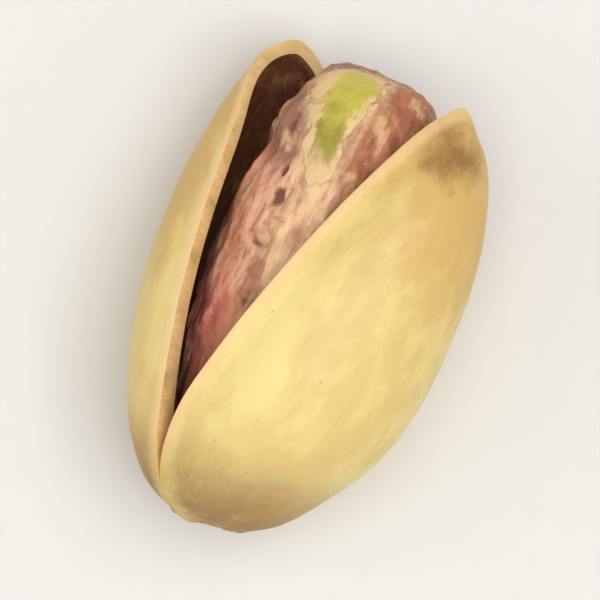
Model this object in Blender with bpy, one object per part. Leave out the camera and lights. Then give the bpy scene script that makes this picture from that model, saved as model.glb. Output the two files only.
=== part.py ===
"""A pistachio in its shell: a woody shell that has split along its seam, and the kernel inside it.

The nut is modelled along X, stem end at x = 0, with the seam in the plane y = 0 and the wide split at +Z.
It is then rolled and pitched into the pose in which it lies on a table, and moved so that the bottom centre
of its bounding box is the origin. All lengths are in metres.
"""

import math

import bmesh
import bpy
import numpy as np
from mathutils import Matrix, Vector

MM = 0.001

# Shell, closed: length, half depth in the seam's plane, half width across it, wall thickness.
SHELL_LENGTH = 20.2 * MM
SHELL_HALF_DEPTH = 5.8 * MM
SHELL_HALF_WIDTH = 5.15 * MM
WALL = 0.85 * MM
STEM_WALL = 1.1 * MM
TIP_WALL = 0.6 * MM
# How the outline runs to each end (stem, tip): 0.5 is an ellipse, less is blunter, more is more pointed.
SHELL_DEPTH_ENDS = (0.34, 0.77)
SHELL_WIDTH_ENDS = (0.46, 0.605)

# The split: each valve bends outwards from a hinge line, which starts near the stem at the wide split and
# curves away from it towards the dorsal side. The two part from each other a little way past it.
LOWER_VALVE_ANGLE = math.radians(14.8)
UPPER_VALVE_ANGLE = math.radians(17.6)
HINGE_VENTRAL = 0.9 * MM
HINGE_DORSAL = 5.5 * MM
BEND_LENGTH = 6.8 * MM
SPLIT_LAG = 1.0 * MM
BEND_STEPS = 200

# Kernel: where it starts along the nut, its length, half depth, half width and how far it sits above the axis.
KERNEL_START = 2.5 * MM
KERNEL_LENGTH = 17.1 * MM
KERNEL_HALF_DEPTH = 3.93 * MM
KERNEL_HALF_WIDTH = 3.75 * MM
KERNEL_RISE = 0.2 * MM
KERNEL_DEPTH_ENDS = (0.42, 0.45)
KERNEL_WIDTH_ENDS = (0.42, 0.31)

# The pose at rest, and how deep the flat is that the shell lies on.
ROLL = math.radians(32.4)
PITCH = math.radians(-1.0)
FLAT_DEPTH = 0.2 * MM

SHELL_SEGMENTS = 48
SHELL_RINGS = 34
KERNEL_SEGMENTS = 36
KERNEL_RINGS = 24
ON_SEAM = 1e-6
SHARP_ANGLE = math.radians(40)


def clear_scene():
    """Removes every object of the startup scene."""
    for obj in list(bpy.data.objects):
        bpy.data.objects.remove(obj)


def make_collection(name):
    """Adds a collection to the scene."""
    collection = bpy.data.collections.new(name)
    bpy.context.scene.collection.children.link(collection)
    return collection


def make_material(name, colour, roughness):
    """A Principled BSDF with one colour and roughness."""
    material = bpy.data.materials.new(name)
    material.use_nodes = True
    principled = material.node_tree.nodes["Principled BSDF"]
    principled.inputs["Base Color"].default_value = (*colour, 1.0)
    principled.inputs["Roughness"].default_value = roughness
    principled.inputs["Metallic"].default_value = 0.0
    return material


def girth(along, ends):
    """The share of the full girth at a place along the nut, which runs from 0 at the stem to 1 at the tip."""
    stem, tip = ends
    widest = stem / (stem + tip)
    full = widest**stem * (1 - widest) ** tip
    return along**stem * (1 - along) ** tip / full


def add_ovoid(bm, start, length, width, depth, segments, rings):
    """A sphere drawn out along X into an ovoid. width and depth each hold a half size and its ends."""
    half_width, width_ends = width
    half_depth, depth_ends = depth
    poles_on_x = Matrix.Rotation(math.radians(90), 4, "Y")
    made = bmesh.ops.create_uvsphere(
        bm, u_segments=segments, v_segments=rings, radius=1.0, matrix=poles_on_x
    )
    for vertex in made["verts"]:
        along = min(max((1 + vertex.co.x) / 2, 0.0), 1.0)
        around = Vector((0, vertex.co.y, vertex.co.z))
        if around.length > ON_SEAM:
            around.normalize()
        vertex.co = (
            start + length * along,
            half_width * girth(along, width_ends) * around.y,
            half_depth * girth(along, depth_ends) * around.z,
        )
    return made["verts"]


def hinge_start(z):
    """Where along the nut a valve starts to bend, at height z above the nut's axis."""
    towards_dorsal = 0.5 - z / (2 * SHELL_HALF_DEPTH)
    return HINGE_VENTRAL + (HINGE_DORSAL - HINGE_VENTRAL) * towards_dorsal**2


def bend_line(valve_angle):
    """The bent centre line of a valve: distances from the hinge, and the place and angle at each."""
    distance = np.linspace(0.0, SHELL_LENGTH, BEND_STEPS + 1)
    share = np.clip(distance / BEND_LENGTH, 0.0, 1.0)
    angle = valve_angle * share**2 * (3 - 2 * share)
    step = distance[1]
    along = np.concatenate([[0.0], np.cumsum(np.cos(angle[:-1])) * step])
    aside = np.concatenate([[0.0], np.cumsum(np.sin(angle[:-1])) * step])
    return distance, along, aside, angle


def side_of(vertex):
    """+1 on the valve at +Y, -1 on the other and 0 on the seam, from the middle of the vertex's faces."""
    middle = sum(face.calc_center_median().y for face in vertex.link_faces)
    if abs(middle) < ON_SEAM:
        return 0.0
    return math.copysign(1.0, middle)


def split_seam(bm):
    """Cuts the surface along the seam, wherever the valves have parted."""
    seam = [
        edge
        for edge in bm.edges
        if all(abs(vertex.co.y) < ON_SEAM for vertex in edge.verts)
        and any(vertex.co.x > hinge_start(vertex.co.z) + SPLIT_LAG for vertex in edge.verts)
    ]
    bmesh.ops.split_edges(bm, edges=seam)


def open_valves(bm):
    """Bends each valve outwards about its hinge line."""
    lines = {1.0: bend_line(LOWER_VALVE_ANGLE), -1.0: bend_line(UPPER_VALVE_ANGLE)}
    sides = {vertex: side_of(vertex) for vertex in bm.verts}
    for vertex, side in sides.items():
        start = hinge_start(vertex.co.z)
        from_hinge = vertex.co.x - start
        if from_hinge <= 0 or side == 0:
            continue
        distance, along, aside, angle = lines[side]
        turn = float(np.interp(from_hinge, distance, angle))
        out = abs(vertex.co.y)
        vertex.co.x = start + float(np.interp(from_hinge, distance, along)) - out * math.sin(turn)
        vertex.co.y = side * (float(np.interp(from_hinge, distance, aside)) + out * math.cos(turn))


def lay_down():
    """The turn from the nut's own directions to the pose in which it lies on a table."""
    return Matrix.Rotation(-PITCH, 4, "Y") @ Matrix.Rotation(-ROLL, 4, "X")


def make_shell(collection):
    """The shell: an outer and an inner surface, cut along the seam, opened and joined at the rim."""
    bm = bmesh.new()
    add_ovoid(
        bm, 0.0, SHELL_LENGTH, (SHELL_HALF_WIDTH, SHELL_WIDTH_ENDS),
        (SHELL_HALF_DEPTH, SHELL_DEPTH_ENDS), SHELL_SEGMENTS, SHELL_RINGS,
    )
    inner = add_ovoid(
        bm, STEM_WALL, SHELL_LENGTH - STEM_WALL - TIP_WALL,
        (SHELL_HALF_WIDTH - WALL, SHELL_WIDTH_ENDS),
        (SHELL_HALF_DEPTH - WALL, SHELL_DEPTH_ENDS), SHELL_SEGMENTS, SHELL_RINGS,
    )
    inner_faces = list({face for vertex in inner for face in vertex.link_faces})
    bmesh.ops.reverse_faces(bm, faces=inner_faces)
    split_seam(bm)
    rims = [edge for edge in bm.edges if edge.is_boundary]
    open_valves(bm)
    bmesh.ops.bridge_loops(bm, edges=rims)
    bmesh.ops.recalc_face_normals(bm, faces=bm.faces)
    bmesh.ops.transform(bm, matrix=lay_down(), verts=bm.verts)
    return add_object(bm, "shell", collection)


def make_kernel(collection):
    """The kernel: a plump ovoid, blunt at the end that shows in the split."""
    bm = bmesh.new()
    add_ovoid(
        bm, KERNEL_START, KERNEL_LENGTH, (KERNEL_HALF_WIDTH, KERNEL_WIDTH_ENDS),
        (KERNEL_HALF_DEPTH, KERNEL_DEPTH_ENDS), KERNEL_SEGMENTS, KERNEL_RINGS,
    )
    bmesh.ops.translate(bm, verts=bm.verts, vec=(0, 0, KERNEL_RISE))
    bmesh.ops.transform(bm, matrix=lay_down(), verts=bm.verts)
    return add_object(bm, "kernel", collection)


def add_object(bm, name, collection):
    """Turns a bmesh into a named, smooth-shaded object."""
    mesh = bpy.data.meshes.new(name)
    bm.to_mesh(mesh)
    bm.free()
    mesh.shade_smooth()
    mesh.set_sharp_from_angle(angle=SHARP_ANGLE)
    obj = bpy.data.objects.new(name, mesh)
    collection.objects.link(obj)
    return obj


def corners(objects):
    """The lowest and highest corner of the box round some unmoved objects."""
    points = np.array([vertex.co for obj in objects for vertex in obj.data.vertices])
    return points.min(axis=0), points.max(axis=0)


def cut_flat(shell, cutters):
    """Grinds the flat that the shell lies on, as a level cut across its lowest place."""
    low, high = corners([shell])
    size = 2 * (high - low)
    centre = (low + high) / 2
    centre[2] = low[2] + FLAT_DEPTH - size[2] / 2
    bm = bmesh.new()
    place = Matrix.LocRotScale(Vector(centre), None, Vector(size))
    bmesh.ops.create_cube(bm, size=1.0, matrix=place)
    cutter = add_object(bm, "flat_cutter", cutters)
    cutter.display_type = "WIRE"
    cutter.hide_render = True
    flat = shell.modifiers.new("flat", "BOOLEAN")
    flat.operation = "DIFFERENCE"
    flat.solver = "EXACT"
    flat.object = cutter


def set_on_origin(shell, kernel, cutters):
    """Moves the nut so that the bottom centre of its box is the origin."""
    low, high = corners([shell, kernel])
    centre = (low + high) / 2
    move = Matrix.Translation((-centre[0], -centre[1], -low[2] - FLAT_DEPTH))
    for obj in (shell, kernel, *cutters.objects):
        obj.data.transform(move)


def main():
    clear_scene()
    nut = make_collection("pistachio_in_shell")
    cutters = make_collection("cutters")
    cutters.hide_render = True
    shell = make_shell(nut)
    kernel = make_kernel(nut)
    cut_flat(shell, cutters)
    set_on_origin(shell, kernel, cutters)
    shell.data.materials.append(make_material("shell_wood", (0.80, 0.66, 0.42), 0.55))
    kernel.data.materials.append(make_material("kernel_skin", (0.55, 0.27, 0.22), 0.5))


main()
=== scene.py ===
"""A pistachio in its shell, lying on a pale table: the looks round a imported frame.

The nut is grown closed and straight along X, stem end first, with its seam in the plane y = 0. Its two
valves are then bent open, and the whole nut is rolled and pitched into the pose of the frame. Each vertex
keeps the place where it grew, in millimetres, in the attribute "grown", and the patterns follow that.
"""

import math

import bmesh
import bpy
import numpy as np
from mathutils import Matrix, Vector, noise


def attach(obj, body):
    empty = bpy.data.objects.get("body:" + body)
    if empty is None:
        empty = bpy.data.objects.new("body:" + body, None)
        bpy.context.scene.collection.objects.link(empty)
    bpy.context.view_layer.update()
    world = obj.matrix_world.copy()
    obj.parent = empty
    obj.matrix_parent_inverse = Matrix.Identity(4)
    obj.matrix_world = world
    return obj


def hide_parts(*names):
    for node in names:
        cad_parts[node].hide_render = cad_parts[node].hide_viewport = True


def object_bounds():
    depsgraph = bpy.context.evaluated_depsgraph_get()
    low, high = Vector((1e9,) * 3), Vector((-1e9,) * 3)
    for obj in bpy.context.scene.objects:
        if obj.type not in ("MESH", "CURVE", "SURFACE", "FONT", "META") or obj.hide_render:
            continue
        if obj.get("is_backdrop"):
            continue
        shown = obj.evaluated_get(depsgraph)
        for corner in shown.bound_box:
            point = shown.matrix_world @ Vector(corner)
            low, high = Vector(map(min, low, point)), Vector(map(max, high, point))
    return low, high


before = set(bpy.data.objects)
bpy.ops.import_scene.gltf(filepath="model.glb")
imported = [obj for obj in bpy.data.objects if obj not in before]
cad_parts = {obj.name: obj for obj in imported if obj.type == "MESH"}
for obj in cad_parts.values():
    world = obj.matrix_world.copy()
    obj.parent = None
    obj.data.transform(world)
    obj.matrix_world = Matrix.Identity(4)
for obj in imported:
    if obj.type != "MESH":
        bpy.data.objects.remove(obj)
FRAME_LOW, FRAME_HIGH = (Vector(corner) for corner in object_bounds())

bl_info = {
    "name": "Pistachio in shell",
    "version": (1, 0, 0),
    "blender": (4, 5, 0),
    "location": "3D View > Sidebar > Pistachio",
    "description": "Grows a split pistachio with its kernel and lays it on a pale table",
    "category": "Object",
}

MM = 0.001
# Smaller than any real offset.
EMPTY = 1e-9

# The nut's make-up. The roll, the pitch and the depth of the flat are the frame's.
ROLL = math.radians(32.4)
PITCH = math.radians(-1.0)
FLAT_DEPTH = 0.2 * MM
SOFT_FLAT = 0.05 * MM

# The shell. Ends are the powers of girth(): the nearer to 0, the blunter the stem end or the tip.
SHELL_DEPTH_ENDS = (0.331, 0.636)
SHELL_WIDTH_ENDS = (0.412, 0.606)
STEM_WALL = 1.1 * MM
TIP_WALL = 0.6 * MM
SHELL_SEGMENTS = 240
SHELL_RINGS = 150
# A vertex that is this near the seam, as a share of its height, is on it.
SEAM_SLIVER = 0.005
# How much fuller each valve is at its tip than a plain ovoid, in width and in depth, and over what share.
LOWER_TIP_SWELL = (-0.42, 0.74)
UPPER_TIP_SWELL = (0.10, 0.16)
SWELL_SHARE = 0.128
# The valves bend from a hinge line that starts nearer the stem on the wide, ventral side.
HINGE_VENTRAL = 0.6 * MM
HINGE_DORSAL = 2.0 * MM
BEND_LENGTH = 6.6 * MM
BEND_STEPS = 400
# The seam has parted from this far past the hinge line, and its gap grows over SPLIT_GAP_RUN.
SPLIT_LAG = 0.5 * MM
SPLIT_GAP = 0.13 * MM
SPLIT_GAP_RUN = 2.2 * MM
RIM_BEVEL = 0.16 * MM
RIM_BEVEL_STEPS = 3
RIM_BEVEL_ANGLE = math.radians(50)
RIM_SLOT = 2

# The kernel and its skin.
KERNEL_DEPTH_ENDS = (0.36, 0.30)
KERNEL_WIDTH_ENDS = (0.30, 0.20)
KERNEL_SEGMENTS = 230
KERNEL_RINGS = 170
SKIN_EDGE_FACTOR = 0.5
SKIN_EDGE_REPEATS = 3

# Attributes of the vertices, and the property that keeps the shell's move.
GROWN = "grown"
TORN = "torn"
PITTED = "pitted"
MOVE = "rest_move"

# Relief, in millimetres. Lumps are (height, size, seed) and fibres (height, length, breadth, seed).
SHELL_LUMPS = ((0.11, 5.5, 1.3), (0.045, 2.3, 4.1), (0.012, 0.7, 7.7))
SHELL_FIBRES = ((0.016, 5.0, 0.8, 2.2),)
LIP_HEIGHT = 0.09
LIP_BREADTH = 0.34
GROOVE_DEPTH = 0.06
GROOVE_OFFSET = 0.9
GROOVE_BREADTH = 0.38
RIB_HEIGHT = 0.11
RIBS_AROUND = 2.2
RIBS_ALONG = 0.3
RIBS_REACH = (5.0, 0.4)
SCAR_DROP = 0.5
SCAR_DEPTH = 0.55
SCAR_EDGE = (1.25, 0.8)
SCAR_END = (1.4, 0.4)
SCAR_RING_HEIGHT = 0.13
SCAR_RING_RADIUS = 1.45
SCAR_RING_BREADTH = 0.3
SCAR_CRUMBS = ((0.15, 0.5, 9.1),)
SCAR_CRUMBS_REACH = (2.0, 0.9)
LINING_LUMPS = ((0.05, 4.0, 5.2),)
LINING_FIBRES = ((0.012, 4.0, 0.8, 6.2),)
LINING_FLARE = 0.10
LINING_FLARE_BREADTH = 1.3
LINING_FLARE_RUN = (2.0, 6.0)
FLESH_LUMPS = ((0.11, 4.2, 11.3), (0.06, 1.8, 13.1))
FLESH_GRAIN = ((0.012, 1.6, 0.3, 15.0),)
# The kernel narrows and swells near its tip on one side: (place along, length, size) and the side's run.
WAIST = (15.2, 0.55, 0.16)
WAIST_SIDE = (0.8, 2.4)
SHOULDER = (16.7, 0.9, 0.10)
SHOULDER_SIDE = (1.0, 2.6)
SKIN_LUMPS = ((0.075, 0.8, 51.0), (0.045, 0.4, 53.0))
SKIN_GRAIN = ((0.014, 0.35, 0.16, 27.0),)
# Folds run where fibres cross zero. A power under 1 makes them narrower.
SKIN_WRINKLES = (0.20, 3.0, 0.9, 21.7)
SKIN_WRINKLE_POWER = 0.8
SKIN_CREASES = (0.09, 1.2, 0.42, 23.9)
SKIN_LIFT = 0.12
SKIN_LEAST_LIFT = 0.02
SKIN_LIFT_RUN = (0.0, 0.7)
SKIN_FOLDS_RUN = (-0.2, 0.5)
SKIN_CURL = 0.03
SKIN_CURL_BREADTH = 0.25
PIT_DROP = 0.2
PIT_EDGE = (1.5, 0.0)
COVERED_DROP = 0.26
COVERED_RUN = (0.1, 0.5)
TEAR_LUMPS = ((0.34, 0.9, 31.0), (0.20, 0.42, 33.0), (0.09, 0.2, 35.0))
# Lumps that bend the outline of a pit, as shares of its size.
PIT_LUMPS = ((0.9, 0.6, 41.0), (0.6, 0.28, 43.0))

# The patch of bare flesh at the kernel's tip, in millimetres: places along the nut, and its middle and half
# width there, across the nut as it lies at rest. It ends on the kernel's blunt end, at PATCH_LOWEST.
PATCH_ALONG = (14.3, 14.9, 15.6, 16.6, 17.6, 18.6, 19.6)
PATCH_MIDDLE = (1.1, 1.1, 1.2, 1.15, 1.35, 1.2, 1.05)
PATCH_HALF = (0.0, 0.5, 0.75, 0.78, 1.05, 1.15, 1.1)
PATCH_LOWEST = 0.7
# Dark pits in the skin, in millimetres: along the nut, across it at rest, half length and half width.
PITS = (
    (14.4, 2.3, 0.5, 0.2),
    (13.5, 2.0, 0.6, 0.24),
    (11.4, 2.1, 0.36, 0.26),
    (9.2, 1.6, 0.5, 0.2),
    (16.5, 2.65, 0.4, 0.14),
)

# Where the colours change, in millimetres, from none of the colour to all of it: places along the nut.
STRAW_RUN = (9.5, 17.5)
STEM_STAIN_RUN = (4.8, 0.2)
# Where the painted highlight along the seam begins.
LIP_HIGHLIGHT_RUN = (1.0, 4.0)
SMUDGE = (18.8, -1.5, 1.4)
SMUDGE_RUN = (1.9, 0.2)
SCAR_RING_RUN = (1.6, 1.1)
SCAR_CORE_RUN = (0.9, 0.5)
SCAR_REACH = (1.6, 0.5)
LIME_RUN = (15.8, 18.8)
PALE_FLESH_RUN = (16.2, 14.8)
RUDDY_RUN = (10.8, 8.0)
UMBER_RUN = (7.4, 5.0)
CAP_RUN = (14.4, 15.6)
# The same, for distances from the seam or from the torn edge, and for places across the nut.
LOWER_VALVE_RUN = (0.2, 1.6)
# Painted highlight along the seam: where the stem stain gives way to it, and the pale band of it.
STEM_SEAM_HIGHLIGHT_RUN = (0.1, 0.9)
LIP_HIGHLIGHT_SEAM_RUN = (0.6, 0.25)
LINING_SEAM_RUN = (0.5, 0.05)
PALE_SIDE_RUN = (1.5, 2.1)
PALE_EDGE_RUN = (-0.45, 0.05)
SKIN_MIDDLE_RUN = (3.1, 1.8)
MAGENTA_SIDE_RUN = (1.6, 2.5)
WARM_CAP_RUN = (1.1, 0.0)
FRINGE_RUN = (0.7, 0.05)

# The stage. A light's place is to the right of the picture, up it and above the nut, in metres.
TABLE_SIZE = 1.2
TABLE_GRAIN = 900.0
LENS = 500.0
SENSOR = 36.0
NEAREST = 0.01
FARTHEST = 10.0
LIGHTS = (
    ("key_light", (0.06, 0.0, 0.37), 0.28, 0.90),
    ("right_light", (0.20, -0.12, 0.26), 0.28, 0.18),
    ("left_light", (-0.24, 0.02, 0.20), 0.28, 0.20),
)
ROOM_COLOUR = (1.0, 0.985, 0.96)
ROOM_STRENGTH = 0.42


def srgb(red, green, blue):
    """A linear colour from its three display values, 0 to 255."""
    shares = (value / 255 for value in (red, green, blue))
    return tuple(s / 12.92 if s <= 0.04045 else ((s + 0.055) / 1.055) ** 2.4 for s in shares)


def length_property(name, text, default, low, high):
    """A size in metres that a user can change."""
    return bpy.props.FloatProperty(
        name=name, description=text, default=default, min=low, max=high,
        precision=5, subtype="DISTANCE", unit="LENGTH",
    )


def angle_property(name, text, degrees):
    """An angle that a user can change."""
    return bpy.props.FloatProperty(
        name=name, description=text, default=math.radians(degrees), min=0.0,
        max=math.radians(40), subtype="ANGLE", unit="ROTATION",
    )


def colour_property(name, text, default):
    """A colour that a user can change."""
    return bpy.props.FloatVectorProperty(
        name=name, description=text, default=default, min=0.0, max=1.0, size=3, subtype="COLOR"
    )


class ShellSettings(bpy.types.PropertyGroup):
    """Sizes and colours of the shell."""

    length: length_property("Length", "Length of the closed shell", 20.09 * MM, 5 * MM, 60 * MM)
    half_depth: length_property(
        "Half depth", "Half the closed shell's size in the plane of its seam", 5.35 * MM, 2 * MM, 20 * MM
    )
    lower_width: length_property(
        "Lower width", "The lower valve's size out from the seam", 4.14 * MM, 2 * MM, 20 * MM
    )
    upper_width: length_property(
        "Upper width", "The upper valve's size out from the seam", 5.77 * MM, 2 * MM, 20 * MM
    )
    wall: length_property("Wall", "Thickness of the shell's wall", 0.85 * MM, 0.2 * MM, 2 * MM)
    lower_angle: angle_property("Lower opening", "How far the lower valve has bent open", 11.1)
    upper_angle: angle_property("Upper opening", "How far the upper valve has bent open", 19.07)
    upper_twist: angle_property("Upper twist", "How far the upper valve has turned about its back edge", 2.4)
    cream: colour_property("Cream", "The shell's main colour", srgb(238, 216, 140))
    straw: colour_property("Straw", "The shell's deeper mottling", srgb(214, 176, 104))
    stain: colour_property("Stain", "The brown at the stem end and the tip", srgb(148, 102, 54))
    rim: colour_property("Rim", "The split edge of the wall", srgb(251, 210, 154))
    # The lining's brown is darkened as painted shade for the gap round the kernel; the scar ring and the
    # rim's mottling use it too.
    lining: colour_property("Lining", "The inside of the shell", srgb(92, 43, 17))


class KernelSettings(bpy.types.PropertyGroup):
    """Sizes and colours of the kernel and its skin."""

    start: length_property("Start", "Where the kernel starts along the nut", 2.0 * MM, 0.0, 20 * MM)
    length: length_property("Length", "Length of the kernel's flesh", 17.5 * MM, 2 * MM, 50 * MM)
    half_depth: length_property(
        "Half depth", "Half the kernel's size in the plane of the seam", 3.83 * MM, 1 * MM, 20 * MM
    )
    half_width: length_property(
        "Half width", "Half the kernel's size across the seam", 3.48 * MM, 1 * MM, 20 * MM
    )
    lean: angle_property("Lean", "How far the kernel leans towards the upper valve", 4.9)
    rise: length_property("Rise", "How far the kernel sits above the nut's axis", 0.2 * MM, 0.0, 2 * MM)
    skin: length_property("Skin", "Thickness of the papery skin", 0.06 * MM, 0.01 * MM, 0.3 * MM)
    green: colour_property("Green", "The flesh", srgb(158, 146, 50))
    lime: colour_property("Lime", "The flesh where it is brightest", srgb(212, 196, 80))
    butter: colour_property("Butter", "Pale flesh, and the skin where it is palest", srgb(240, 202, 152))
    rose: colour_property("Rose", "The skin's pink", srgb(224, 158, 132))
    magenta: colour_property("Magenta", "The skin's deep pink", srgb(210, 108, 104))
    mauve: colour_property("Mauve", "The skin near the tip", srgb(158, 116, 94))
    russet: colour_property("Russet", "The skin's red-brown", srgb(184, 116, 80))
    umber: colour_property("Umber", "The skin's brown", srgb(152, 92, 66))
    vein: colour_property("Vein", "The skin's pits", srgb(108, 56, 36))


class StageSettings(bpy.types.PropertyGroup):
    """The table, the camera and the lights."""

    floor: colour_property("Floor", "The table's colour", srgb(232, 230, 226))
    lean: angle_property("Lean", "How far the nut leans from the picture's upright", 19.8)
    fill: bpy.props.FloatProperty(
        name="Fill", description="The share of the picture's height that the nut takes up",
        default=0.76, min=0.1, max=1.0, subtype="FACTOR",
    )
    light: bpy.props.FloatProperty(
        name="Light", description="How bright the lights are, where 1 is the design", default=1.0,
        min=0.0, max=10.0, subtype="FACTOR",
    )


# Shaders


class Value:
    """A shader value. An expression on it adds the Math nodes that it needs."""

    def __init__(self, tree, socket):
        self.tree = tree
        self.socket = socket

    def math(self, operation, *others):
        made = self.tree.nodes.new("ShaderNodeMath")
        made.operation = operation
        for slot, value in zip(made.inputs, (self, *others), strict=False):
            put(self.tree, slot, value)
        return Value(self.tree, made.outputs[0])

    def __add__(self, other):
        return self.math("ADD", other)

    def __mul__(self, other):
        return self.math("MULTIPLY", other)

    def __sub__(self, other):
        return self.math("SUBTRACT", other)

    def __rsub__(self, other):
        return (self * -1.0).math("ADD", other)

    __radd__ = __add__
    __rmul__ = __mul__

    def absolute(self):
        return self.math("ABSOLUTE")

    def least(self, other):
        return self.math("MINIMUM", other)

    def most(self, other):
        return self.math("MAXIMUM", other)

    def sway(self, amount):
        """Noise round 0.5 turned into noise round 0, amount times as strong."""
        return (self - 0.5) * amount

    def ramp(self, low, high):
        """0 at low and 1 at high, with a smooth run between. low may be the higher of the two."""
        made = self.tree.nodes.new("ShaderNodeMapRange")
        made.interpolation_type = "SMOOTHSTEP"
        for slot, value in zip(made.inputs, (self, low, high, 0.0, 1.0), strict=False):
            put(self.tree, slot, value)
        return Value(self.tree, made.outputs[0])


def put(tree, slot, value):
    """Sets a socket to a number or colour, or links it to a shader value."""
    if isinstance(value, Value):
        tree.links.new(value.socket, slot)
    elif slot.type == "RGBA" and len(value) == 3:
        slot.default_value = (*value, 1.0)
    else:
        slot.default_value = value


class Finish:
    """A material in the making."""

    def __init__(self, name, **constants):
        self.material = bpy.data.materials.new(name)
        self.material.use_nodes = True
        self.tree = self.material.node_tree
        self.shader = self.tree.nodes["Principled BSDF"]
        for socket, value in constants.items():
            put(self.tree, self.shader.inputs[socket.replace("_", " ")], value)

    def node(self, kind, settings, values, output=0):
        """Any node. settings are set first, then values fill its sockets by name or number."""
        made = self.tree.nodes.new("ShaderNode" + kind)
        for key, value in settings.items():
            setattr(made, key, value)
        for key, value in values.items():
            put(self.tree, made.inputs[key], value)
        return Value(self.tree, made.outputs[output])

    def grown(self):
        """Where each point grew, in millimetres: the vector, and its three parts."""
        place = self.node("Attribute", {"attribute_name": GROWN}, {}, "Vector")
        parts = [self.node("SeparateXYZ", {}, {0: place}, axis) for axis in "XYZ"]
        return place, *parts

    def kept(self, name):
        """A number that the vertices keep."""
        return self.node("Attribute", {"attribute_name": name}, {}, "Fac")

    def away(self, place, centre):
        """The distance of a place from a centre."""
        return self.node("VectorMath", {"operation": "DISTANCE"}, {0: place, 1: centre}, "Value")

    def stretch(self, place, along, across, shift=0.0):
        """A place scaled for a pattern: repeats per millimetre along the nut and across it."""
        moved = self.node("VectorMath", {"operation": "ADD"}, {0: place, 1: (shift, shift, shift)})
        scale = (along, across, across)
        return self.node("VectorMath", {"operation": "MULTIPLY"}, {0: moved, 1: scale})

    def noise(self, place, detail=3.0, roughness=0.5, distortion=0.0):
        """Noise round 0.5, with one lump to each unit of place."""
        values = {
            "Vector": place, "Scale": 1.0, "Detail": detail,
            "Roughness": roughness, "Distortion": distortion,
        }
        return self.node("TexNoise", {}, values)

    def cells(self, place):
        """Distance to the nearest of some scattered points, one to each unit of place."""
        return self.node("TexVoronoi", {}, {"Vector": place, "Scale": 1.0}, "Distance")

    def mix(self, share, first, second):
        """Two colours mixed, from first at 0 to second at 1."""
        made = self.tree.nodes.new("ShaderNodeMix")
        made.data_type = "RGBA"
        for key, value in (("Factor_Float", share), ("A_Color", first), ("B_Color", second)):
            slot = next(s for s in made.inputs if s.identifier == key)
            put(self.tree, slot, value)
        output = next(s for s in made.outputs if s.identifier == "Result_Color")
        return Value(self.tree, output)

    def finish(self, colour, roughness, bumps):
        """Feeds the shader. bumps are (height, distance in metres, strength), coarsest first."""
        put(self.tree, self.shader.inputs["Base Color"], colour)
        put(self.tree, self.shader.inputs["Roughness"], roughness)
        normal = None
        for height, distance, strength in bumps:
            values = {"Height": height, "Distance": distance, "Strength": strength}
            if normal is not None:
                values["Normal"] = normal
            normal = self.node("Bump", {}, values)
        put(self.tree, self.shader.inputs["Normal"], normal)
        return self.material


# Meshes


def deselect():
    """Leaves object mode's selection empty."""
    if bpy.context.mode != "OBJECT":
        bpy.ops.object.mode_set(mode="OBJECT")
    bpy.ops.object.select_all(action="DESELECT")


def choose(obj):
    """Selects one object alone and makes it active."""
    deselect()
    obj.select_set(True)
    bpy.context.view_layer.objects.active = obj


def places(obj):
    """An object's vertices, as rows of x, y and z."""
    flat = np.empty(len(obj.data.vertices) * 3, np.float32)
    obj.data.vertices.foreach_get("co", flat)
    return flat.reshape(-1, 3).astype(float)


def set_places(obj, points):
    """Moves an object's vertices."""
    obj.data.vertices.foreach_set("co", points.astype(np.float32).ravel())
    obj.data.update()


def outward(obj):
    """An object's vertex normals, as rows."""
    flat = np.empty(len(obj.data.vertices) * 3, np.float32)
    obj.data.vertex_normals.foreach_get("vector", flat)
    return flat.reshape(-1, 3).astype(float)


def push_out(obj, relief):
    """Moves each vertex along its normal by relief(its place in millimetres), which is in millimetres."""
    points = places(obj)
    amounts = np.array([relief(Vector(point / MM)) for point in points])
    set_places(obj, points + outward(obj) * amounts[:, None] * MM)


def girth(along, ends):
    """The share of the full girth at places along a piece, from 0 at the stem to 1 at the tip."""
    stem, tip = ends
    widest = stem / (stem + tip)
    full = widest**stem * (1 - widest) ** tip
    return along**stem * (1 - along) ** tip / full


def add_ball(name, start, length, segments, rings):
    """A sphere with its poles on X, from start along a length."""
    deselect()
    bpy.ops.mesh.primitive_uv_sphere_add(
        segments=segments, ring_count=rings, radius=length / 2, location=(start + length / 2, 0, 0),
        rotation=(0, math.pi / 2, 0), calc_uvs=False,
    )
    bpy.ops.object.transform_apply(location=True, rotation=True, scale=True)
    obj = bpy.context.active_object
    obj.name = name
    return obj


def copied(obj, name):
    """A copy of a piece with its own mesh."""
    copy = obj.copy()
    copy.data = obj.data.copy()
    copy.name = name
    bpy.context.collection.objects.link(copy)
    return copy


def draw_out(obj, start, length, widths, width_ends, depth, depth_ends):
    """Shapes a ball into an ovoid. widths are its half widths at +Y and -Y, and depth its half depth."""
    ball = places(obj)
    low, high = ball[:, 0].min(), ball[:, 0].max()
    along = (ball[:, 0] - low) / (high - low)
    ball[np.abs(ball[:, 1]) < SEAM_SLIVER * np.abs(ball[:, 2]), 1] = 0.0
    around = ball[:, 1:] / np.maximum(np.hypot(ball[:, 1], ball[:, 2]), EMPTY)[:, None]
    half_width = np.where(ball[:, 1] > 0, *widths) * girth(along, width_ends)
    half_depth = depth * girth(along, depth_ends)
    shaped = np.stack(
        (start + length * along, half_width * around[:, 0], half_depth * around[:, 1]), axis=1
    )
    set_places(obj, shaped)
    remember(obj, shaped)


def remember(obj, points):
    """Keeps the place where each vertex grew, in millimetres."""
    kept = obj.data.attributes.new(GROWN, "FLOAT_VECTOR", "POINT")
    kept.data.foreach_set("vector", (points / MM).astype(np.float32).ravel())


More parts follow.
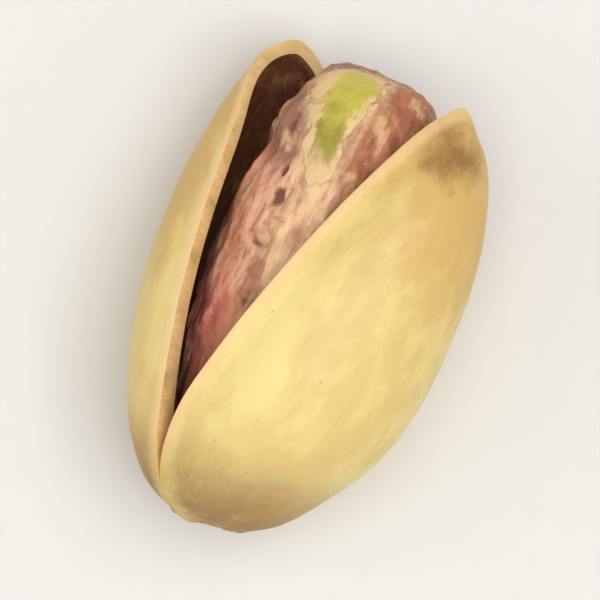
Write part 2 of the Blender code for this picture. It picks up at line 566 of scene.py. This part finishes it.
def select_edges(obj, mask):
    """Selects the edges of a mask alone, and goes to edit mode."""
    choose(obj)
    obj.data.vertices.foreach_set("select", np.zeros(len(obj.data.vertices), bool))
    obj.data.polygons.foreach_set("select", np.zeros(len(obj.data.polygons), bool))
    obj.data.edges.foreach_set("select", mask)
    bpy.context.tool_settings.mesh_select_mode = (False, True, False)
    bpy.ops.object.mode_set(mode="EDIT")


def edge_ends(obj):
    """The two vertices of each edge, as rows."""
    flat = np.empty(len(obj.data.edges) * 2, np.int32)
    obj.data.edges.foreach_get("vertices", flat)
    return flat.reshape(-1, 2)


def apply_modifier(obj, kind, **settings):
    """Adds a modifier with its settings and applies it."""
    choose(obj)
    modifier = obj.modifiers.new(kind.lower(), kind)
    for key, value in settings.items():
        setattr(modifier, key, value)
    bpy.ops.object.modifier_apply(modifier=modifier.name)


def lay_down(obj, move):
    """Rolls and pitches a piece into the nut's resting pose and moves it by move."""
    turn = Matrix.Rotation(-PITCH, 4, "Y") @ Matrix.Rotation(-ROLL, 4, "X")
    obj.data.transform(Matrix.Translation(move) @ turn)
    obj.data.update()


def settle(obj):
    """Flattens what would be below the table, with a soft edge."""
    points = places(obj)
    height = points[:, 2]
    points[:, 2] = (height + np.hypot(height, SOFT_FLAT)) / 2
    set_places(obj, points)


def join_frame(obj, node):
    """Makes a finished piece stand for a node of the frame."""
    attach(obj, "root")
    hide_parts(node)


def bell(distance, width):
    """1 at no distance, falling off to 0 over about twice the width."""
    return math.exp(-((distance / width) ** 2))


def swell(place, size, seed):
    """Smooth noise from -1 to 1, with lumps of a size in millimetres."""
    return noise.noise(place / size + Vector((seed, seed * 2.3, seed * 3.7)))


def stretched(place, along, across, seed):
    """Smooth noise from -1 to 1, with lumps drawn out along the nut, in millimetres."""
    drawn = Vector((place.x / along, place.y / across, place.z / across))
    return noise.noise(drawn + Vector((seed, seed * 1.7, seed * 2.9)))


def lumps(place, layers):
    """The sum of some layers of lumps."""
    return sum(height * swell(place, size, seed) for height, size, seed in layers)


def fibres(place, layers):
    """The sum of some layers of fibres along the nut."""
    return sum(
        height * stretched(place, along, across, seed) for height, along, across, seed in layers
    )


def step(value, low, high):
    """0 at low and 1 at high, with a smooth run between."""
    share = min(max((value - low) / (high - low), 0.0), 1.0)
    return share * share * (3 - 2 * share)


# The shell


def hinge_start(z, half_depth):
    """Where along the nut a valve starts to bend, at heights z above the nut's axis."""
    towards_dorsal = 0.5 - z / (2 * half_depth)
    return HINGE_VENTRAL + (HINGE_DORSAL - HINGE_VENTRAL) * towards_dorsal**2


def outer_relief(place):
    """How the outside of the shell differs from a smooth ovoid, in millimetres."""
    from_seam = abs(place.y)
    lip = LIP_HEIGHT * bell(from_seam, LIP_BREADTH)
    groove = GROOVE_DEPTH * bell(from_seam - GROOVE_OFFSET, GROOVE_BREADTH)
    turn = math.atan2(place.z + SCAR_DROP, place.y)
    around = Vector((math.cos(turn), math.sin(turn), 0.0)) * RIBS_AROUND
    rib = noise.noise(around + Vector((0.0, 0.0, place.x * RIBS_ALONG)))
    ribs = RIB_HEIGHT * rib * step(place.x, *RIBS_REACH)
    surface = lumps(place, SHELL_LUMPS) + fibres(place, SHELL_FIBRES)
    return surface + lip - groove + ribs + scar_relief(place) * step(place.x, *SCAR_END)


def scar_relief(place):
    """The hollow that the stalk left, with a raised ring round it and a crumbly skin, in millimetres."""
    from_scar = math.hypot(place.y, place.z + SCAR_DROP)
    hollow = SCAR_DEPTH * step(from_scar, *SCAR_EDGE)
    ring = SCAR_RING_HEIGHT * bell(from_scar - SCAR_RING_RADIUS, SCAR_RING_BREADTH)
    crumbs = lumps(place, SCAR_CRUMBS) * step(from_scar, *SCAR_CRUMBS_REACH)
    return ring - hollow + crumbs


def inner_relief(place):
    """How the lining differs from a smooth ovoid, in millimetres: it flares at the seam."""
    flare = LINING_FLARE * bell(place.y, LINING_FLARE_BREADTH) * step(place.x, *LINING_FLARE_RUN)
    return flare + lumps(place, LINING_LUMPS) + fibres(place, LINING_FIBRES)


def valve_sides(obj):
    """+1 or -1 for the vertices of each valve, and 0 for those on the seam that hold the two together."""
    mesh = obj.data
    grown = np.empty(len(mesh.vertices) * 3, np.float32)
    mesh.attributes[GROWN].data.foreach_get("vector", grown)
    corners = np.empty(len(mesh.loops), np.int32)
    mesh.loops.foreach_get("vertex_index", corners)
    starts = np.empty(len(mesh.polygons), np.int32)
    mesh.polygons.foreach_get("loop_start", starts)
    counts = np.empty(len(mesh.polygons), np.int32)
    mesh.polygons.foreach_get("loop_total", counts)
    across = np.repeat(np.add.reduceat(grown.reshape(-1, 3)[corners, 1], starts), counts)
    plus = np.zeros(len(mesh.vertices), bool)
    minus = np.zeros(len(mesh.vertices), bool)
    plus[corners[across > 0]] = True
    minus[corners[across < 0]] = True
    return plus.astype(float) - minus.astype(float)


def bend_line(valve_angle, length):
    """The bent centre line of a valve: distances from the hinge, and the place and angle at each."""
    distance = np.linspace(0.0, length, BEND_STEPS + 1)
    share = np.clip(distance / BEND_LENGTH, 0.0, 1.0)
    angle = valve_angle * share**2 * (3 - 2 * share)
    run = distance[1]
    along = np.concatenate([[0.0], np.cumsum(np.cos(angle[:-1])) * run])
    aside = np.concatenate([[0.0], np.cumsum(np.sin(angle[:-1])) * run])
    return distance, along, aside, angle


def fill_tips(obj, start, length):
    """Makes each valve of a cut ovoid blunter or finer at its tip, in width and in depth."""
    points = places(obj)
    side = valve_sides(obj)
    along = np.clip((points[:, 0] - start) / length, 0.0, 1.0)
    near_tip = np.exp(-(((1 - along) / SWELL_SHARE) ** 2))
    for sign, swells in ((1.0, LOWER_TIP_SWELL), (-1.0, UPPER_TIP_SWELL)):
        valve = side == sign
        points[valve, 1:] *= 1 + near_tip[valve, None] * np.array(swells)
    set_places(obj, points)


def open_valves(obj, sizes):
    """Bends each valve outwards about its hinge line, and turns it about its back edge."""
    points = places(obj)
    side = valve_sides(obj)
    start = hinge_start(points[:, 2], sizes.half_depth)
    past = np.maximum(points[:, 0] - start, 0.0)
    back = sizes.half_depth * girth(np.clip(points[:, 0] / sizes.length, 0.0, 1.0), SHELL_DEPTH_ENDS)
    gap = SPLIT_GAP * np.clip(past / SPLIT_GAP_RUN, 0.0, 1.0)
    opened = points.copy()
    for sign, valve_angle, twist in (
        (1.0, sizes.lower_angle, 0.0), (-1.0, sizes.upper_angle, sizes.upper_twist)
    ):
        distance, along, aside, angle = bend_line(valve_angle, sizes.length)
        turn = np.interp(past, distance, angle)
        roll = turn * twist / valve_angle
        from_back = points[:, 2] + back
        out = np.abs(points[:, 1]) * np.cos(roll) + from_back * np.sin(roll)
        z = from_back * np.cos(roll) - np.abs(points[:, 1]) * np.sin(roll) - back
        x = start + np.interp(past, distance, along) - out * np.sin(turn)
        y = sign * (np.interp(past, distance, aside) + out * np.cos(turn) + gap)
        moved = (side == sign) & (past > 0)
        opened[moved] = np.stack((x, y, z), axis=1)[moved]
    set_places(obj, opened)


def split_seam(obj, mask):
    """Cuts a closed ovoid along its seam."""
    select_edges(obj, mask)
    bpy.ops.mesh.edge_split(type="EDGE")
    bpy.ops.object.mode_set(mode="OBJECT")


def seam_mask(obj, sizes):
    """The edges of the seam that have parted."""
    points = places(obj)
    parted = points[:, 0] > hinge_start(points[:, 2], sizes.half_depth) + SPLIT_LAG
    on_seam = np.abs(points[:, 1]) < EMPTY
    ends = edge_ends(obj)
    return on_seam[ends].all(axis=1) & parted[ends].any(axis=1)


def grow_shell(sizes):
    """The shell: an outside and a lining, cut along the seam, opened and joined by a rim."""
    outside = add_ball("shell_halves", 0.0, sizes.length, SHELL_SEGMENTS, SHELL_RINGS)
    lining = copied(outside, "lining")
    inner_length = sizes.length - STEM_WALL - TIP_WALL
    layers = (
        (outside, 0.0, sizes.length, 0.0, outer_relief),
        (lining, STEM_WALL, inner_length, sizes.wall, inner_relief),
    )
    for surface, start, length, wall, _ in layers:
        widths = sizes.lower_width - wall, sizes.upper_width - wall
        draw_out(surface, start, length, widths, SHELL_WIDTH_ENDS, sizes.half_depth - wall, SHELL_DEPTH_ENDS)
    mask = seam_mask(outside, sizes)
    for surface, start, length, _, relief in layers:
        push_out(surface, relief)
        split_seam(surface, mask)
        fill_tips(surface, start, length)
        open_valves(surface, sizes)
    choose(lining)
    bpy.ops.object.mode_set(mode="EDIT")
    bpy.ops.mesh.select_all(action="SELECT")
    bpy.ops.mesh.flip_normals()
    deselect()
    outside.data.materials.append(shell_finish(sizes))
    outside.data.materials.append(lining_finish(sizes))
    outside.data.materials.append(rim_finish(sizes))
    lining.data.materials.append(outside.data.materials[1])
    choose(outside)
    lining.select_set(True)
    bpy.ops.object.join()
    close_rim(outside, len(outside.data.vertices) // 2)
    apply_modifier(
        outside, "BEVEL", width=RIM_BEVEL, segments=RIM_BEVEL_STEPS, limit_method="ANGLE",
        angle_limit=RIM_BEVEL_ANGLE,
    )
    bpy.ops.object.shade_smooth()
    return outside


def close_rim(obj, count):
    """Joins the cut edges of the outside, the first count vertices, to the lining's with the rim's faces.

    The outside and the lining are the same mesh in two sizes, so a vertex of one is count away from its
    match in the other.
    """
    mesh = bmesh.new()
    mesh.from_mesh(obj.data)
    mesh.verts.ensure_lookup_table()
    for edge in [edge for edge in mesh.edges if edge.is_boundary]:
        first = edge.link_loops[0].vert
        second = edge.other_vert(first)
        if first.index < count:
            corners = second, first, mesh.verts[first.index + count], mesh.verts[second.index + count]
            mesh.faces.new(corners).material_index = RIM_SLOT
    mesh.to_mesh(obj.data)
    mesh.free()


# The kernel and its skin


def across_and_up(place):
    """A place's offset across the nut and its height, as the nut lies at rest, in millimetres."""
    across = place.y * math.cos(ROLL) + place.z * math.sin(ROLL)
    up = place.z * math.cos(ROLL) - place.y * math.sin(ROLL)
    return across, up


def tear(place):
    """How far a place on the kernel is outside the patch where the skin has flaked off, in millimetres."""
    across, up = across_and_up(place)
    middle = np.interp(place.x, PATCH_ALONG, PATCH_MIDDLE)
    half = np.interp(place.x, PATCH_ALONG, PATCH_HALF)
    return max(abs(across - middle) - half, PATCH_ALONG[0] - place.x, PATCH_LOWEST - up)


def ragged_tear(place):
    """The tear with its ragged edge."""
    return tear(place) + lumps(place, TEAR_LUMPS)


def flesh_relief(place):
    """How the flesh differs from a smooth ovoid, in millimetres."""
    across, _ = across_and_up(place)
    waist_at, waist_length, waist_depth = WAIST
    shoulder_at, shoulder_length, shoulder_height = SHOULDER
    waist = waist_depth * bell(place.x - waist_at, waist_length) * step(across, *WAIST_SIDE)
    shoulder = shoulder_height * bell(place.x - shoulder_at, shoulder_length)
    shoulder *= step(across, *SHOULDER_SIDE)
    return lumps(place, FLESH_LUMPS) + fibres(place, FLESH_GRAIN) - waist + shoulder


def covered_relief(place):
    """The flesh's relief, sunk where the skin covers it, in millimetres."""
    return flesh_relief(place) - COVERED_DROP * step(tear(place), *COVERED_RUN)


def pit_depth(place):
    """How deep a place is in a pit of the skin, from 0 to 1. Pits are on the kernel's upper side."""
    across, up = across_and_up(place)
    if up < 0:
        return 0.0
    bent = lumps(place, PIT_LUMPS)
    offsets = [
        math.hypot((place.x - along) / half_length, (across - aside) / half_width) + bent
        for along, aside, half_length, half_width in PITS
    ]
    return step(min(offsets), *PIT_EDGE)


def skin_relief(place):
    """How far the skin's outside is from the smooth ovoid, in millimetres."""
    wrinkle_height, *wrinkle = SKIN_WRINKLES
    crease_height, *crease = SKIN_CREASES
    folds = lumps(place, SKIN_LUMPS) + fibres(place, SKIN_GRAIN)
    folds -= wrinkle_height * abs(stretched(place, *wrinkle)) ** SKIN_WRINKLE_POWER
    folds -= crease_height * abs(stretched(place, *crease))
    from_tear = ragged_tear(place)
    folds *= step(from_tear, *SKIN_FOLDS_RUN)
    lift = SKIN_LEAST_LIFT + SKIN_LIFT * step(from_tear, *SKIN_LIFT_RUN)
    curl = SKIN_CURL * bell(from_tear, SKIN_CURL_BREADTH)
    return flesh_relief(place) + lift + folds - PIT_DROP * pit_depth(place) + curl


def add_kernel(name, sizes):
    """The smooth ovoid of the kernel, in the nut's own directions."""
    obj = add_ball(name, sizes.start, sizes.length, KERNEL_SEGMENTS, KERNEL_RINGS)
    draw_out(
        obj, sizes.start, sizes.length, (sizes.half_width, sizes.half_width), KERNEL_WIDTH_ENDS,
        sizes.half_depth, KERNEL_DEPTH_ENDS,
    )
    tears = np.array([tear(Vector(point / MM)) for point in places(obj)], np.float32)
    obj.data.attributes.new(TORN, "FLOAT", "POINT").data.foreach_set("value", tears)
    return obj


def lay_kernel(obj, sizes, move):
    """Lifts the kernel, leans it towards the upper valve and lays it down in the shell."""
    stand = Matrix.Translation((sizes.start, 0, sizes.rise)) @ Matrix.Rotation(-sizes.lean, 4, "Z")
    obj.data.transform(stand @ Matrix.Translation((-sizes.start, 0, 0)))
    lay_down(obj, move)


def grow_flesh(sizes, move):
    """The kernel's flesh."""
    flesh = add_kernel("kernel_flesh", sizes)
    push_out(flesh, covered_relief)
    flesh.data.materials.append(flesh_finish(sizes))
    lay_kernel(flesh, sizes, move)
    choose(flesh)
    bpy.ops.object.shade_smooth()
    return flesh


def grow_skin(sizes, move):
    """The kernel's papery skin, with a patch torn out of it."""
    skin = add_kernel("kernel_skin", sizes)
    grown = [Vector(point / MM) for point in places(skin)]
    inside = np.array([ragged_tear(place) < 0 for place in grown])
    pits = np.array([pit_depth(place) for place in grown], np.float32)
    skin.data.attributes.new(PITTED, "FLOAT", "POINT").data.foreach_set("value", pits)
    push_out(skin, skin_relief)
    ends = edge_ends(skin)
    select_edges(skin, inside[ends].all(axis=1))
    bpy.ops.mesh.select_mode(type="FACE")
    bpy.ops.mesh.delete(type="FACE")
    bpy.ops.mesh.select_mode(type="EDGE")
    bpy.ops.mesh.select_non_manifold(
        extend=False, use_wire=False, use_boundary=True, use_multi_face=False,
        use_non_contiguous=False, use_verts=False,
    )
    bpy.ops.mesh.vertices_smooth(factor=SKIN_EDGE_FACTOR, repeat=SKIN_EDGE_REPEATS)
    bpy.ops.object.mode_set(mode="OBJECT")
    apply_modifier(skin, "SOLIDIFY", thickness=sizes.skin, offset=-1.0)
    skin.data.materials.append(skin_finish(sizes))
    lay_kernel(skin, sizes, move)
    choose(skin)
    bpy.ops.object.shade_smooth()
    return skin


# Finishes


def across_nut(y, z):
    """The offset across the nut as it lies at rest, from where a point grew."""
    return y * math.cos(ROLL) + z * math.sin(ROLL)


def shell_finish(colours):
    """Smooth, dry, cream shell with faint fibres, brown at the stem end and near the upper tip, with a
    painted highlight along the seam.
    """
    f = Finish("shell_outside", Specular_IOR_Level=0.4)
    place, x, y, _ = f.grown()
    seam = y.absolute()
    broad = f.noise(f.stretch(place, 0.17, 0.25), 2.0)
    mottle = f.noise(f.stretch(place, 0.55, 1.0, 7.0), 4.0, 0.6)
    fibre = f.noise(f.stretch(place, 0.5, 5.0, 3.0), 4.0, 0.62)
    grain = f.noise(f.stretch(place, 6.0, 9.0, 11.0), 3.0, 0.6)
    speck = f.cells(f.stretch(place, 0.8, 1.2, 5.0))
    scatter = f.noise(f.stretch(place, 0.5, 0.5, 9.0), 1.0)

    # Straw mottling, deeper towards the tips and on the lower valve.
    deep = (broad + mottle.sway(0.6)).ramp(0.36, 0.66) * 0.5
    deep = deep + x.ramp(*STRAW_RUN) * 0.6 + y.ramp(*LOWER_VALVE_RUN) * 0.35 + fibre.sway(0.5)
    colour = f.mix(deep, colours.cream, colours.straw)
    # The brown wash at the stem end, weaker along the seam where a painted highlight is left, and the smudge
    # near the upper tip.
    wash = (x + mottle.sway(4.0) + fibre.sway(2.2)).ramp(*STEM_STAIN_RUN)
    wash = wash * ((seam + fibre.sway(0.8)).ramp(*STEM_SEAM_HIGHLIGHT_RUN) * 0.6 + 0.4)
    wash = wash * (mottle + 0.4).least(1.0) * 0.85
    smudge = f.away(place, SMUDGE) + mottle.sway(2.6) + fibre.sway(0.8)
    smudge = smudge.ramp(*SMUDGE_RUN) * 0.9
    colour = f.mix(wash.most(smudge), colour, colours.stain)
    # The pale band along the seam: a painted highlight on the lip, in the rim's colour.
    lip = (seam + mottle.sway(0.4)).ramp(*LIP_HIGHLIGHT_SEAM_RUN) * 0.5
    colour = f.mix(lip * x.ramp(*LIP_HIGHLIGHT_RUN), colour, colours.rim)
    # The dark ring of the stalk's scar, and its paler middle.
    from_scar = f.away(f.stretch(place, 0.0, 1.0), (0.0, 0.0, -SCAR_DROP))
    from_scar = from_scar + mottle.sway(1.1) + grain.sway(0.4)
    ring = from_scar.ramp(*SCAR_RING_RUN) * x.ramp(*SCAR_REACH)
    colour = f.mix(ring * (mottle + 0.1) * 1.1, colour, colours.lining)
    colour = f.mix(ring * from_scar.ramp(*SCAR_CORE_RUN) * 0.45, colour, colours.straw)
    # A few specks.
    dots = speck.ramp(0.11, 0.03) * scatter.ramp(0.54, 0.64) * 0.35
    colour = f.mix(dots, colour, colours.stain)

    roughness = 0.46 + mottle.sway(0.25) + wash * 0.2
    bumps = (
        (mottle, 0.03 * MM, 0.6),
        (fibre, 0.025 * MM, 0.7),
        (grain - dots * 1.5, 0.008 * MM, 0.8),
    )
    return f.finish(colour, roughness, bumps)


def lining_finish(colours):
    """The shell's smooth brown inside, darkened as painted shade for the gap round the kernel, a little
    paler at the seam.
    """
    f = Finish("shell_lining", Specular_IOR_Level=0.25)
    place, _, y, _ = f.grown()
    mottle = f.noise(f.stretch(place, 0.5, 0.8, 2.0), 4.0, 0.6)
    fibre = f.noise(f.stretch(place, 0.5, 5.0, 8.0), 4.0, 0.6)
    # The lining's colour is painted shade, paler with its mottles and near the seam.
    pale = mottle.sway(0.8) + fibre.sway(0.6) + y.absolute().ramp(*LINING_SEAM_RUN) * 0.4
    colour = f.mix(pale, colours.lining, colours.straw)
    colour = f.mix((fibre + mottle * 0.5).ramp(0.7, 0.45) * 0.4, colour, colours.stain)
    return f.finish(colour, 0.5 + mottle * 0.15, ((fibre, 0.02 * MM, 0.7),))


def rim_finish(colours):
    """The woody edge of the wall, with its fibres running through the wall."""
    f = Finish("shell_rim", Specular_IOR_Level=0.35)
    place, _, _, _ = f.grown()
    mottle = f.noise(f.stretch(place, 0.8, 0.8, 4.0), 4.0, 0.6)
    fibre = f.noise(f.stretch(place, 4.0, 1.2, 6.0), 4.0, 0.65)
    colour = f.mix((mottle + fibre - 0.65) * 1.3, colours.rim, colours.straw)
    colour = f.mix((mottle - 0.3 * fibre).ramp(0.42, 0.6) * 0.35, colour, colours.lining)
    return f.finish(colour, 0.6 + fibre.sway(0.2), ((fibre, 0.03 * MM, 0.9),))


def flesh_finish(colours):
    """Green, waxy flesh, buttery at the edge of the skin."""
    f = Finish(
        "kernel_flesh", Specular_IOR_Level=0.5, Subsurface_Weight=0.15, Subsurface_Scale=0.4 * MM
    )
    place, x, y, z = f.grown()
    across = across_nut(y, z)
    mottle = f.noise(f.stretch(place, 0.9, 1.3, 3.0), 4.0, 0.6)
    grain = f.noise(f.stretch(place, 2.0, 6.0, 9.0), 4.0, 0.6)

    # Green, brighter towards the tip.
    lime = (x + mottle.sway(5.0) + grain.sway(2.0)).ramp(*LIME_RUN)
    colour = f.mix(lime, colours.green, colours.lime)
    # Butter along the torn edge, most of all on the lower valve's side, and at the patch's foot.
    edge = f.kept(TORN) + across.ramp(*PALE_SIDE_RUN) * 0.4 + mottle.sway(2.0) + grain.sway(1.0)
    foot = (x + mottle.sway(3.0)).ramp(*PALE_FLESH_RUN)
    colour = f.mix(edge.ramp(*PALE_EDGE_RUN).most(foot) * 0.85, colour, colours.butter)
    colour = f.mix(grain.sway(0.7), colour, colours.umber)
    bumps = ((mottle, 0.05 * MM, 0.8), (grain, 0.02 * MM, 0.8))
    return f.finish(colour, 0.38 + mottle * 0.2, bumps)


def skin_finish(colours):
    """Papery skin, beige and pink along the nut and brown at its ends, with flecks and dark pits."""
    f = Finish("kernel_skin", Specular_IOR_Level=0.42)
    place, x, y, z = f.grown()
    across = across_nut(y, z)
    torn = f.kept(TORN)
    pit = f.kept(PITTED)
    broad = f.noise(f.stretch(place, 0.3, 0.45), 2.0, 0.5)
    mottle = f.noise(f.stretch(place, 0.7, 1.1, 7.0), 5.0, 0.62, 0.3)
    streak = f.noise(f.stretch(place, 0.45, 2.6, 13.0), 4.0, 0.6, 0.2)
    fine = f.noise(f.stretch(place, 2.2, 5.0, 17.0), 3.0, 0.6)
    fleck = f.noise(f.stretch(place, 1.3, 2.2, 23.0), 2.0, 0.5, 0.4)
    blot = f.noise(f.stretch(place, 1.0, 1.4, 29.0), 4.0, 0.65, 0.5)
    wander = broad.sway(3.0) + mottle.sway(3.0)

    # Butter along the middle and rose beside it, with blotches of rose and russet.
    middle = (across + wander * 0.6).ramp(*SKIN_MIDDLE_RUN)
    colour = f.mix(middle * 0.72, colours.rose, colours.butter)
    blush = (blot + streak.sway(0.6)).ramp(0.47, 0.62) * 0.9
    colour = f.mix(blush, colour, f.mix(broad.ramp(0.4, 0.6), colours.rose, colours.russet))
    # Magenta and russet towards the stem, then brown.
    side = (across + mottle.sway(1.6)).ramp(*MAGENTA_SIDE_RUN) * 0.85 + 0.15
    ruddy = f.mix(side, colours.russet, colours.magenta)
    colour = f.mix((x + wander).ramp(*RUDDY_RUN) * (side * 0.3 + 0.65), colour, ruddy)
    colour = f.mix((x + wander * 0.6).ramp(*UMBER_RUN) * 0.85, colour, colours.umber)
    # The cap over the tip: russet on the upper valve's side and mauve on the lower's.
    warm = (across + mottle.sway(1.6)).ramp(*WARM_CAP_RUN)
    cap = (x + wander * 0.5).ramp(*CAP_RUN)
    colour = f.mix(cap, colour, f.mix(warm, colours.mauve, colours.russet))
    # Worn pale places, and a pale fringe round the torn patch.
    pale = (mottle + streak.sway(0.8)).ramp(0.5, 0.66) * 0.6
    colour = f.mix(pale, colour, colours.butter)
    fringe = (torn + blot.sway(1.4)).ramp(*FRINGE_RUN)
    colour = f.mix(fringe * 0.75, colour, colours.butter)
    # Brown streaks and flecks, and the pits.
    shade = (streak * 0.7 - mottle * 0.6 + 0.45).ramp(0.40, 0.62) * 0.62
    flecks = fleck.ramp(0.60, 0.70) * (mottle + broad * 0.5).ramp(0.9, 0.6) * 0.65
    colour = f.mix(shade.most(flecks), colour, colours.umber)
    hollow = (pit + mottle.sway(0.8) + fine.sway(0.5)).ramp(0.2, 1.0) * pit.ramp(0.05, 0.35)
    colour = f.mix(hollow * 0.95, colour, colours.vein)

    roughness = 0.44 + mottle.sway(0.3) + pit * 0.15
    bumps = (
        (mottle, 0.05 * MM, 0.6),
        (streak - flecks * 0.4, 0.06 * MM, 0.7),
        (fine, 0.02 * MM, 0.8),
    )
    return f.finish(colour, roughness, bumps)


def floor_finish(colour):
    """A pale matt table with a hint of unevenness."""
    f = Finish("table", Specular_IOR_Level=0.2)
    place = f.node("TexCoord", {}, {}, "Object")
    grain = f.noise(f.node("VectorMath", {"operation": "SCALE"}, {0: place, "Scale": TABLE_GRAIN}), 3.0)
    tone = f.mix(grain, colour, tuple(0.97 * channel for channel in colour))
    return f.finish(tone, 0.75 + grain.sway(0.1), ((grain, 0.004 * MM, 0.3),))


# The stage


def add_light(name, place, size, power, aim):
    """A square soft light that faces aim."""
    deselect()
    bpy.ops.object.light_add(type="AREA", location=place)
    light = bpy.context.active_object
    light.name = name
    light.data.size = size
    light.data.energy = power
    light.rotation_euler = (aim - Vector(place)).to_track_quat("-Z", "Y").to_euler()
    return light


def set_up_stage(stage):
    """The table, the camera straight overhead, and soft light from above."""
    deselect()
    bpy.ops.mesh.primitive_plane_add(size=TABLE_SIZE)
    table = bpy.context.active_object
    table.name = "table"
    table.data.materials.append(floor_finish(stage.floor))
    table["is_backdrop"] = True

    middle = (FRAME_LOW + FRAME_HIGH) / 2
    length = FRAME_HIGH.x - FRAME_LOW.x
    view = length * math.cos(stage.lean) / stage.fill
    distance = view * LENS / SENSOR
    deselect()
    bpy.ops.object.camera_add(location=(middle.x, middle.y, middle.z + distance))
    camera = bpy.context.active_object
    camera.name = "overhead_camera"
    camera.rotation_euler = (0.0, 0.0, stage.lean - math.pi / 2)
    camera.data.lens = LENS
    camera.data.sensor_width = SENSOR
    camera.data.clip_start = NEAREST
    camera.data.clip_end = FARTHEST
    bpy.context.scene.camera = camera

    for name, offset, size, power in LIGHTS:
        turned = Matrix.Rotation(stage.lean - math.pi / 2, 3, "Z") @ Vector(offset)
        add_light(name, middle + turned, size, power * stage.light, middle)
    world = bpy.data.worlds.new("soft_room")
    world.use_nodes = True
    background = world.node_tree.nodes["Background"]
    background.inputs["Color"].default_value = (*ROOM_COLOUR, 1.0)
    background.inputs["Strength"].default_value = ROOM_STRENGTH * stage.light
    bpy.context.scene.world = world
    bpy.context.scene.view_settings.view_transform = "Standard"


# The add-on


def resting_move(obj):
    """How far a rolled shell has to move to lie where the frame's nut lies."""
    points = places(obj)
    low, high = Vector(points.min(axis=0)), Vector(points.max(axis=0))
    move = (FRAME_LOW + FRAME_HIGH - low - high) / 2
    move.z = FRAME_LOW.z - FLAT_DEPTH - low.z
    return move


def shell_move():
    """The move that the shell was given, which the kernel needs too."""
    shell = bpy.data.objects.get("shell_halves")
    if shell is None:
        raise RuntimeError("grow the shell first: the kernel takes its place from it")
    return Vector(shell[MOVE])


class NUT_OT_grow_shell(bpy.types.Operator):
    """Grow the split shell and lay it down"""

    bl_idname = "nut.grow_shell"
    bl_label = "Grow shell"
    bl_options = {"REGISTER", "UNDO"}

    def execute(self, context):
        shell = grow_shell(context.scene.nut_shell)
        lay_down(shell, Vector())
        move = resting_move(shell)
        shell.data.transform(Matrix.Translation(move))
        settle(shell)
        shell[MOVE] = tuple(move)
        join_frame(shell, "shell")
        return {"FINISHED"}


class NUT_OT_grow_kernel(bpy.types.Operator):
    """Grow the kernel's flesh inside the shell"""

    bl_idname = "nut.grow_kernel"
    bl_label = "Grow kernel"
    bl_options = {"REGISTER", "UNDO"}

    def execute(self, context):
        join_frame(grow_flesh(context.scene.nut_kernel, shell_move()), "kernel")
        return {"FINISHED"}


class NUT_OT_grow_skin(bpy.types.Operator):
    """Grow the papery skin over the kernel, with its torn patch"""

    bl_idname = "nut.grow_skin"
    bl_label = "Grow skin"
    bl_options = {"REGISTER", "UNDO"}

    def execute(self, context):
        join_frame(grow_skin(context.scene.nut_kernel, shell_move()), "kernel")
        return {"FINISHED"}


class NUT_OT_set_stage(bpy.types.Operator):
    """Add the table, the camera and the soft light"""

    bl_idname = "nut.set_stage"
    bl_label = "Set stage"
    bl_options = {"REGISTER", "UNDO"}

    def execute(self, context):
        set_up_stage(context.scene.nut_stage)
        return {"FINISHED"}


class NUT_PT_panel(bpy.types.Panel):
    """The nut's sizes, colours and steps"""

    bl_idname = "NUT_PT_panel"
    bl_label = "Pistachio"
    bl_space_type = "VIEW_3D"
    bl_region_type = "UI"
    bl_category = "Pistachio"

    def draw(self, context):
        for name, step_ids in PANEL_STEPS:
            box = self.layout.box()
            group = getattr(context.scene, name)
            for key in group.__annotations__:
                box.prop(group, key)
            for step_id in step_ids:
                box.operator(step_id)


SETTINGS = {"nut_shell": ShellSettings, "nut_kernel": KernelSettings, "nut_stage": StageSettings}
PANEL_STEPS = (
    ("nut_shell", ("nut.grow_shell",)),
    ("nut_kernel", ("nut.grow_kernel", "nut.grow_skin")),
    ("nut_stage", ("nut.set_stage",)),
)
CLASSES = (
    *SETTINGS.values(),
    NUT_OT_grow_shell,
    NUT_OT_grow_kernel,
    NUT_OT_grow_skin,
    NUT_OT_set_stage,
    NUT_PT_panel,
)


def register():
    for cls in CLASSES:
        bpy.utils.register_class(cls)
    for name, group in SETTINGS.items():
        setattr(bpy.types.Scene, name, bpy.props.PointerProperty(type=group))


def unregister():
    for name in SETTINGS:
        delattr(bpy.types.Scene, name)
    for cls in reversed(CLASSES):
        bpy.utils.unregister_class(cls)


def main():
    register()
    bpy.ops.nut.grow_shell()
    bpy.ops.nut.grow_kernel()
    bpy.ops.nut.grow_skin()
    bpy.ops.nut.set_stage()


if __name__ == "__main__":
    main()
